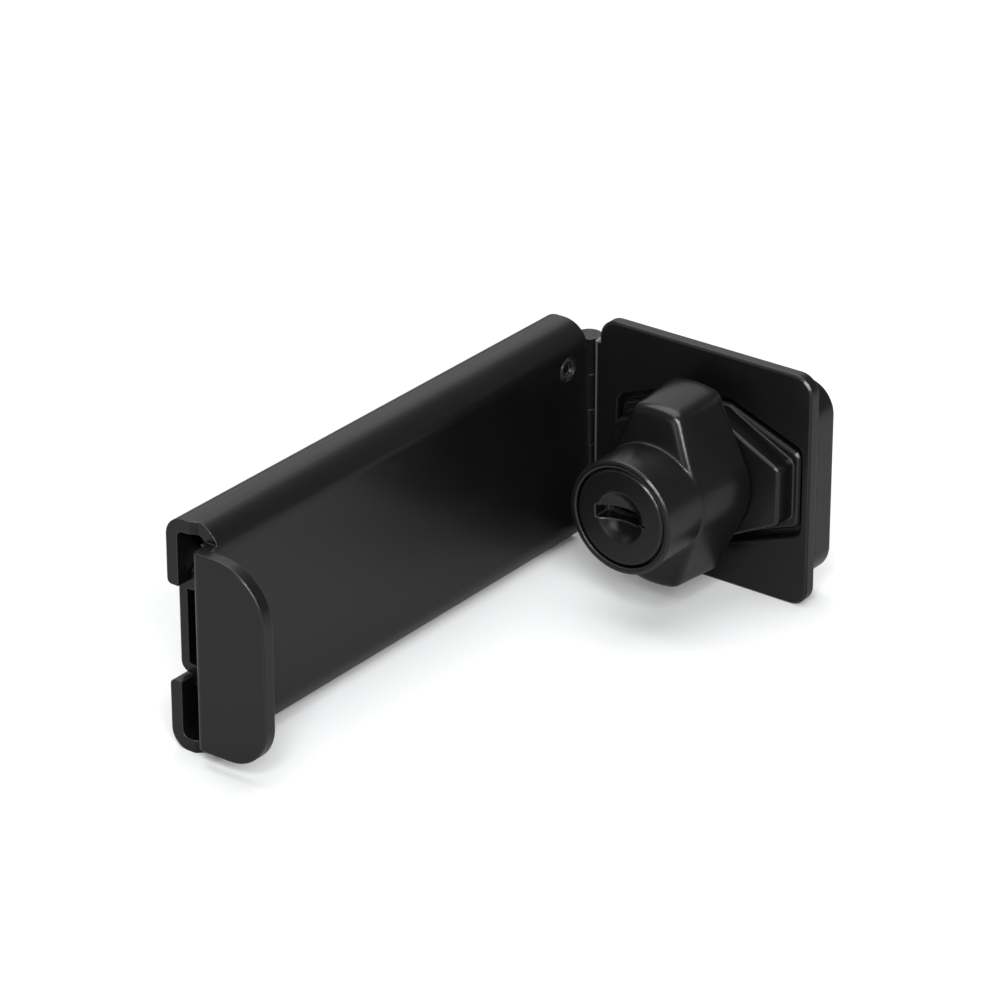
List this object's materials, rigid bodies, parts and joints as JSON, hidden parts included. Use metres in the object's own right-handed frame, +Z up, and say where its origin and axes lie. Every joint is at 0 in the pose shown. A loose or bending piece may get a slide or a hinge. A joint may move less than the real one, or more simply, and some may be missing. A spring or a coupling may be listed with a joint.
{
  "type": "keyed hasp latch for a sliding door",
  "caption": "Black metal sliding door latch: slotted hasp plate over a lock base with a winged key knob, hinged to a long channel arm with a finger tab and a sliding mounting plate.",
  "frame": {"origin": "on the knob's axis at the back face of the lock base, the centre of its four screw holes", "axes": "+X away from the hinge along the hasp plate, +Y into the door the lock is screwed to, +Z up"},
  "size_m": [0.0546, 0.1097, 0.042],
  "materials": {
    "black_casting": "satin black powder coat over die-cast metal",
    "black_plug": "satin black coat, fine turned marks on the face",
    "black_sheet": "satin black powder coat over folded sheet steel",
    "black_steel": "black coated rivet",
    "plain_steel": "zinc plated steel",
    "spring_steel": "blackened spring steel",
    "brass": "stamped brass"
  },
  "bodies": {
    "base": {"lock_base": "black_casting", "hasp_plate": "black_sheet", "hinge_pin": "plain_steel"},
    "knob": {"knob": "black_casting", "stop_pin": "plain_steel", "spring_washer": "spring_steel", "knob_washer": "plain_steel", "knob_clip": "spring_steel"},
    "plug": {"key_plug": "black_plug", "wafer_1": "brass", "wafer_2": "brass", "wafer_3": "brass", "wafer_4": "brass", "wafer_5": "brass", "plug_retainer": "brass"},
    "bolt": {"lock_bolt": "plain_steel"},
    "arm": {"arm_channel": "black_sheet", "stop_rivet": "black_steel"},
    "mount": {"mounting_plate": "black_sheet"}
  },
  "joints": [
    {"name": "knob_turn", "type": "hinge", "parent": "base", "child": "knob", "pos_m": [0, -0.0112, 0], "axis": [0, -1, 0], "range_deg": [0, 90]},
    {"name": "plug_turn", "type": "hinge", "parent": "knob", "child": "plug", "pos_m": [0, -0.0326, 0], "axis": [0, -1, 0], "range_deg": [0, 90]},
    {"name": "bolt_slide", "type": "slide", "parent": "knob", "child": "bolt", "axis": [0, 0, 1], "range_m": [0, 0.00212]},
    {"name": "arm_hinge", "type": "hinge", "parent": "base", "child": "arm", "pos_m": [-0.0261, -0.0052, 0], "axis": [0, 0, 1], "range_deg": [-90, 20]},
    {"name": "mount_slide", "type": "slide", "parent": "arm", "child": "mount", "axis": [0, 1, 0], "range_m": [-0.06, 0.0078]}
  ],
  "couplings": [
    {"joint": "plug_turn", "follows": "bolt_slide", "rad_per_m": 740.48}
  ]
}
